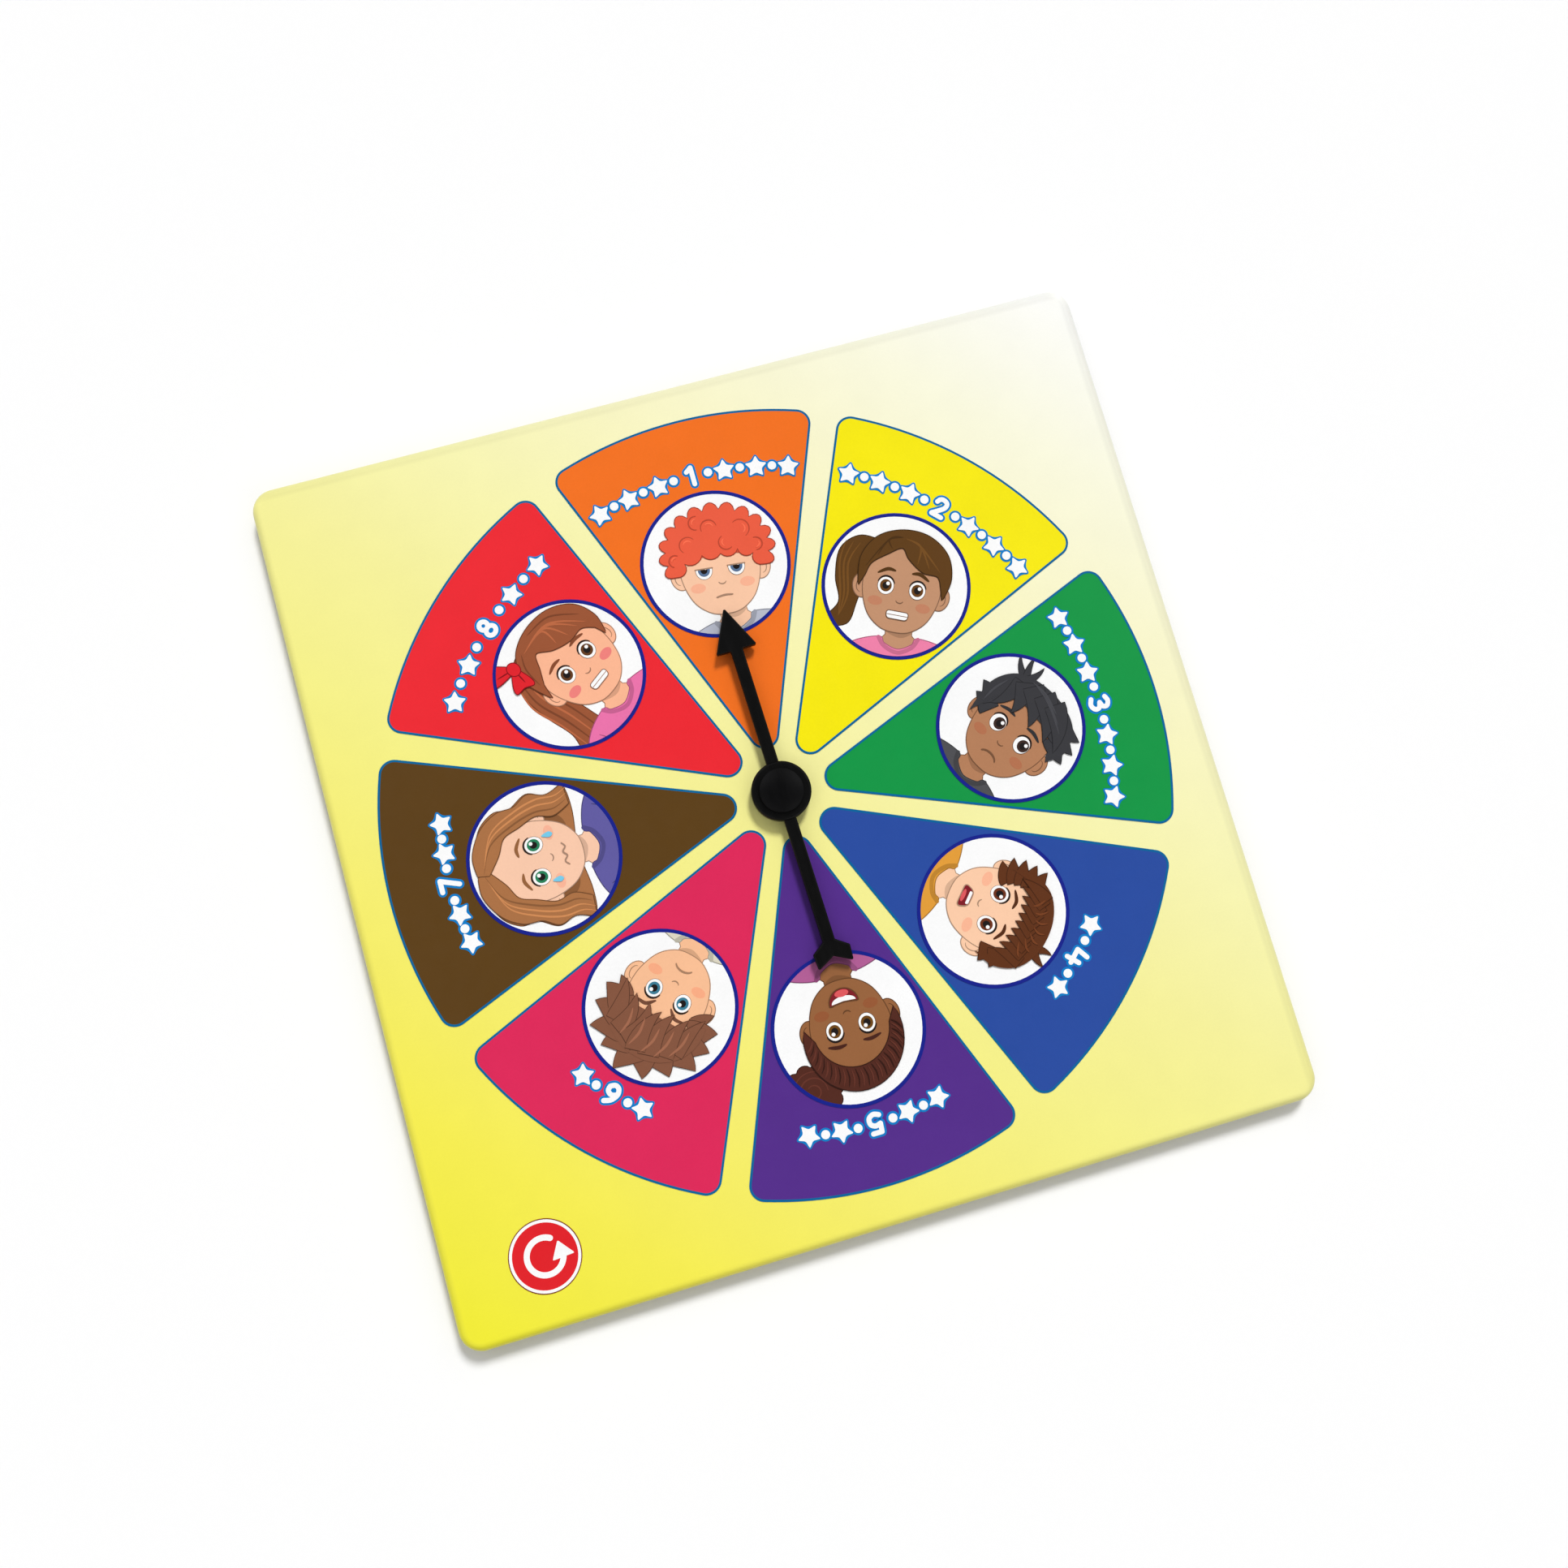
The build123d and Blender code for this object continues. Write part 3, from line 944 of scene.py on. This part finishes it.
def tousled(p):
    """A thick mop with loose pointed locks."""
    left_tips = [(200, 11.4), (184, 13.2), (166, 14.0), (148, 15.2), (126, 14.6), (104, 15.4)]
    right_tips = [(80, 16.2), (60, 14.9), (42, 15.6), (22, 14.2), (4, 13.0), (-10, 11.2)]
    for angle, reach in left_tips + right_tips:
        lean = 8 if angle < 90 else -8
        width = 6.0 if 0 < angle < 190 else 3.2
        root = 5.0j + 8.0 * direction(angle + lean)
        lock(p, root, 3.4j + reach * direction(angle), -0.012 * lean, width)
    hairline = [-8.6 + 3.6j, -5.4 + 5.4j, 5.4 + 5.4j, 8.6 + 3.6j]
    p.fill("hair", arc(5.2j, 10.8, 9.8, -14, 194) + hairline)
    fringe = [
        (-7.2 + 10.6j, -9.6 + 1.4j, 0.1, 3.8),
        (7.6 + 10.4j, 9.6 + 1.4j, -0.1, 3.8),
        (-5.4 + 12.2j, -6.4 + 3.0j, 0.15, 4.4),
        (6.0 + 12.0j, 6.2 + 3.2j, -0.2, 4.2),
        (-2.4 + 13.4j, -3.2 + 3.4j, 0.2, 4.6),
        (3.4 + 13.2j, 2.8 + 3.6j, -0.25, 4.4),
        (0.6 + 13.8j, -0.4 + 4.2j, 0.2, 4.4),
    ]
    for root, tip, bend, width in fringe:
        lock(p, root, tip, bend, width)
    shine = [
        (-6.4 + 11.6j, -7.8 + 5.0j),
        (-3.6 + 13.2j, -4.8 + 6.4j),
        (-0.6 + 13.6j, -1.8 + 7.4j),
        (2.4 + 13.4j, 2.0 + 7.0j),
        (5.2 + 12.4j, 5.4 + 6.2j),
    ]
    for root, tip in shine:
        p.strands("hair_light", [[root, (root + tip) / 2 - 0.6, tip]], 0.6)


def bun_behind(p):
    """A puff of hair gathered high on one side."""
    puff = bumps(ellipse(11.2 + 11.4j, 5.6, 5.2, steps=11) + [16.8 + 11.4j], 0.9)[:-1]
    p.shape("hair", puff)
    for size in (1.4, 2.9, 4.2):
        p.line("hair_light", arc(11.0 + 11.2j, size, size, 60 * size, 60 * size + 230), 0.28, 0.4)


def braided(p):
    """Hair drawn tightly back from a round hairline, in narrow braids."""
    crown = arc(2.6j, 10.4, 11.0, -20, 200, 30)
    hairline = arc(0.4j, 8.2, 8.4, 172, 8, 24)
    p.shape("hair", crown + hairline)
    for angle in range(2, 182, 12):
        start, end = 0.6j + 8.4 * direction(angle), 2.8j + 10.2 * direction(angle)
        bend = (start + end) / 2 + 0.35 * direction(angle + 90)
        p.strands("hair_light", [[start, bend, end]], 0.3)
        turned = direction(5)
        p.strands("hair_line", [[start * turned, bend * turned, end * turned]], 0.26)


def long_waves_behind(p):
    """The back of long hair, darker behind the neck."""
    ends = [2 - 8.4j, 9 - 9.2j, 14.2 - 8.4j]
    side = [13.0 - 4.6j, 14.4 - 0.6j, 12.2 + 3.6j, 12.2 + 7.4j, 8.6 + 11.4j, 13.2j]
    p.shape("hair", smooth(mirrored(ends + side), closed=True))
    p.fill("hair_dark", smooth(mirrored([-7j, 7 - 7j, 9.6 - 3j, 9 + 6j, 11j]), closed=True))


def long_waves(p):
    """Hair parted in the middle that falls in waves on both sides of the face."""
    crown = [0.2 + 13.4j, 4.6 + 13.4j, 9.4 + 10.6j, 12.0 + 6.6j]
    outer = [12.4 + 2.6j, 14.2 - 0.8j, 13.2 - 4.6j, 14.6 - 8.6j]
    inner = [10.2 - 8.9j, 8.6 - 5.2j, 9.4 - 1.4j, 8.0 + 2.6j, 6.6 + 6.2j, 3.2 + 8.2j, -0.3 + 11.0j]
    curtain = smooth(crown + outer) + smooth(inner)
    strand = [1.4 + 12.4j, 7.0 + 9.6j, 10.0 + 4.0j, 11.4 - 1.0j, 11.2 - 5.2j, 12.4 - 8.2j]
    for side in (-1, 1):
        p.shape("hair", [complex(side * point.real, point.imag) for point in curtain])
        for step in (1.2, 2.5, 3.8):
            path = [complex(side * (point.real + step - 2.4), point.imag - step * 0.3) for point in strand]
            p.strands("hair_light" if step > 2 else "hair_dark", [path], 0.42)


def long_tail_behind(p):
    """A long tail of hair that falls past the shoulder."""
    outer = [-4 + 11j, -9.6 + 10.4j, -12.8 + 5j, -13.4 - 2j, -13.0 - 8.6j, -14.4 - 15j]
    inner = [-6.4 - 17j, -6.6 - 9j, -7 + 1j]
    p.shape("hair", smooth(outer + inner, closed=True))
    for shift in (0, 1.5, 3.0, 4.5):
        path = [-8.4 + 9.4j - shift * 0.6, -9.2 + 2j - shift, -8.4 - 6j - shift, -8.2 - 15j - shift]
        p.strands("hair_light" if shift % 3 else "hair_dark", [path], 0.45)


def bow_fringe(p):
    """Long hair tied back under a red bow, with a fringe swept across the forehead."""
    crown_right = [9.0 - 0.4j, 10.6 + 4.0j, 9.4 + 9.2j, 4.8 + 12.8j]
    crown_left = [-1.4 + 13.6j, -7 + 11.6j, -10.2 + 6.4j, -9.4 - 0.2j]
    fringe = [-8.3 + 3.0j, -6.2 + 5.8j, -4.0 + 8.6j, -1.0 + 6.2j, 2.8 + 4.6j, 6.4 + 4.4j, 8.5 + 2.2j]
    p.shape("hair", smooth(crown_right + crown_left) + smooth(fringe))
    for end in (0.6 + 6.6j, 3.6 + 5.6j, 6.4 + 5.4j, 8.4 + 4.4j):
        p.strands("hair_light", [[-5.6 + 10.6j, 0.4 + 10.8j + end.real * 0.25, end]])
    p.strands("hair_dark", [[-6 + 11j, -8 + 8j, -8.8 + 3.6j], [-2 + 12.6j, 4 + 11.6j, 8.6 + 6.8j]], 0.35)
    knot = -9.6 + 10.2j
    for turn, size in ((150, 5.4), (250, 5.0)):
        wing = [0, size * 0.6 + 1.9j, size + 2.1j, size * 0.92, size - 2.1j, size * 0.6 - 1.9j]
        p.shape("bow", [knot + point * direction(turn) for point in smooth(wing, closed=True)])
        crease = [0, size * 0.45 + 0.4j, size * 0.75 + 0.7j]
        p.strands("bow_line", [[knot + point * direction(turn) for point in crease]], 0.3)
    p.shape("bow", ellipse(knot, 1.3, 1.5))


def with_tears(p):
    """Long waves, and a tear on each cheek."""
    long_waves(p)
    for side in (-1, 1):
        drop = [side * 4.9 - 1.6j, side * 4.3 - 3.2j, side * 4.9 - 4.0j, side * 5.5 - 3.2j]
        p.fill("tear", smooth(drop, closed=True))


# For each portrait: the turn of its upright and the head's tilt in degrees, the head's place and size, the
# heights of the brows' inner and outer ends, then the colours and the hair behind and in front of the head.
LOOKS = [
    dict(
        up=-2, tilt=-8, head=0.6 - 1.9j, size=1.09, brows=(3.5, 3.3), lid=1.1, mouth="flat",
        skin=srgb(250, 200, 166), hair=srgb(236, 94, 66),
        shirt=srgb(184, 188, 203), iris=srgb(90, 115, 150),
        behind=nothing, front=curly_hair,
    ),
    dict(
        up=20, tilt=-6, head=1.2 - 1.0j, size=1.07, brows=(4.1, 3.1), mouth="teeth",
        skin=srgb(196, 146, 112), hair=srgb(96, 62, 24),
        shirt=srgb(240, 130, 170), iris=srgb(105, 65, 25),
        behind=ponytail_behind, front=parted_fringe,
    ),
    dict(
        up=65, tilt=4, head=0.9 - 1.7j, size=1.08, brows=(4.0, 3.5), gaze=0.4 + 0j, mouth="frown",
        skin=srgb(182, 128, 92), hair=srgb(58, 58, 62),
        shirt=srgb(80, 80, 84), iris=srgb(60, 42, 36),
        behind=nothing, front=swept_fringe,
    ),
    dict(
        up=135, tilt=4, head=-0.2 - 0.8j, size=1.08, brows=(4.2, 3.2), mouth="open",
        skin=srgb(253, 205, 170), hair=srgb(98, 52, 26),
        shirt=srgb(228, 158, 58), iris=srgb(110, 50, 25),
        behind=nothing, front=short_fringe,
    ),
    dict(
        up=180, tilt=0, head=-0.6 - 0.8j, size=1.08, brows=(3.7, 3.4), mouth="smile",
        skin=srgb(152, 100, 62), hair=srgb(84, 42, 32),
        shirt=srgb(180, 96, 152), iris=srgb(110, 70, 20),
        behind=bun_behind, front=braided,
    ),
    dict(
        up=225, tilt=0, head=-0.3 - 3.6j, size=1.04, brows=(2.7, 4.0), mouth="frown",
        skin=srgb(250, 192, 150), hair=srgb(134, 86, 64),
        shirt=srgb(222, 216, 196), iris=srgb(60, 125, 150),
        behind=nothing, front=tousled,
    ),
    dict(
        up=270, tilt=0, head=-0.2 + 1.1j, size=1.06, brows=(4.1, 3.1), mouth="wave",
        skin=srgb(250, 202, 172), hair=srgb(172, 114, 70),
        shirt=srgb(98, 92, 162), iris=srgb(40, 130, 90),
        behind=long_waves_behind, front=with_tears,
    ),
    dict(
        up=326, tilt=3, head=3.2 + 0j, size=1.06,
        brows=(3.9, 3.5), mouth="teeth", blush=srgb(240, 130, 125),
        skin=srgb(252, 184, 148), hair=srgb(156, 86, 54),
        shirt=srgb(236, 116, 172), iris=srgb(100, 60, 30),
        behind=long_tail_behind, front=bow_fringe,
    ),
]


# ---------------------------------------------------------------- badge


BADGE_RIM_RADIUS = 7.95
BADGE_BAND_RADIUS = 7.55
BADGE_CURL_RADIUS = 4.0


def draw_badge():
    """A plain round badge: a white band and an arrow that curls round, for "spin"."""
    art = Print("badge", "badge_label", "portrait_print")
    low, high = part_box("badge_label")
    art.centre = complex(low.x + high.x, low.y + high.y) / 2 / MM
    art.inks = {"white": WHITE_INK, "rim": srgb(120, 12, 20)}
    art.ring("white", ellipse(0, BADGE_BAND_RADIUS, steps=60), 0.7)
    art.ring("rim", ellipse(0, BADGE_RIM_RADIUS, steps=60), 0.2, low.z / MM)
    art.line("white", arc(0, BADGE_CURL_RADIUS, BADGE_CURL_RADIUS, 60, 345, 40), 1.3)
    arrowhead = [1.3 - 1.4j, 6.4 - 1.0j, 3.4 + 2.6j]
    art.fill("white", rounded(arrowhead, 0.45))
    art.finish()


# ---------------------------------------------------------------- set


FLOOR_REACH = 3.0


def build_floor():
    """A plain pale floor at the height of the feet."""
    mesh = bpy.data.meshes.new("floor")
    corners = [(x * FLOOR_REACH, y * FLOOR_REACH, 0) for x, y in ((-1, -1), (1, -1), (1, 1), (-1, 1))]
    mesh.from_pydata(corners, [], [(0, 1, 2, 3)])
    floor = bpy.data.objects.new("floor", mesh)
    bpy.context.scene.collection.objects.link(floor)
    shader = Shader("floor")
    shader.set(Base_Color=(0.98, 0.98, 0.98, 1.0), Roughness=0.9, Specular_IOR_Level=0.0)
    mesh.materials.append(shader.material)


def towards(bearing, height):
    """The unit step at a bearing clockwise from +Y and a height above the horizon, in degrees."""
    across = math.cos(math.radians(height))
    return Vector((
        across * math.sin(math.radians(bearing)),
        across * math.cos(math.radians(bearing)),
        math.sin(math.radians(height)),
    ))


def add_sun(name, bearing, height, power, softness, glossy=True):
    """A distant light. Softness is the angle that it fills in the sky, in degrees."""
    light = bpy.data.lights.new(name, "SUN")
    light.energy = power
    light.angle = math.radians(softness)
    lamp = bpy.data.objects.new(name, light)
    lamp.visible_glossy = glossy
    bpy.context.scene.collection.objects.link(lamp)
    lamp.rotation_euler = towards(bearing, height).to_track_quat("Z", "Y").to_euler()


def light_the_set():
    """One key light from behind on the right, and even fill all round."""
    add_sun("key", bearing=29.5, height=44.8, power=2.4, softness=14, glossy=False)
    for bearing in (60, 150, 240, 330):
        add_sun(f"fill_{bearing}", bearing, height=42, power=0.42, softness=50)
    world = bpy.data.worlds.new("studio")
    world.use_nodes = True
    background = world.node_tree.nodes["Background"]
    background.inputs["Color"].default_value = (1, 1, 1, 1)
    background.inputs["Strength"].default_value = 0.12
    bpy.context.scene.world = world
    bpy.context.scene.view_settings.view_transform = "Standard"


# The camera: its lens in mm, its distance, height and bearing from the spot that it looks at, and how far
# the board is turned in the picture.
LENS = 28
VIEW_DISTANCE = 279.3 * MM
VIEW_HEIGHT = 83.56
VIEW_BEARING = 217.6
BOARD_TURN = 15.93
LOOK_AT = (1.2 * MM, 1.6 * MM)


def place_camera():
    """Looks down from a little in front and to the left. The board lies turned in the picture."""
    target = Vector((*LOOK_AT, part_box("face_sheet")[1].z))
    back = towards(VIEW_BEARING, VIEW_HEIGHT)
    top = towards(BOARD_TURN, 0)
    right = top.cross(back).normalized()
    camera = bpy.data.objects.new("camera", bpy.data.cameras.new("camera"))
    camera.data.lens = LENS
    camera.data.clip_start = 0.01
    turn = Matrix((right, back.cross(right), back)).transposed()
    camera.matrix_world = Matrix.Translation(target + back * VIEW_DISTANCE) @ turn.to_4x4()
    bpy.context.scene.collection.objects.link(camera)
    bpy.context.scene.camera = camera


place_camera()
paint_frame()
for number in range(1, SECTORS + 1):
    draw_sector(number)
    Portrait(number, LOOKS[number - 1]).draw()
draw_badge()
build_floor()
light_the_set()
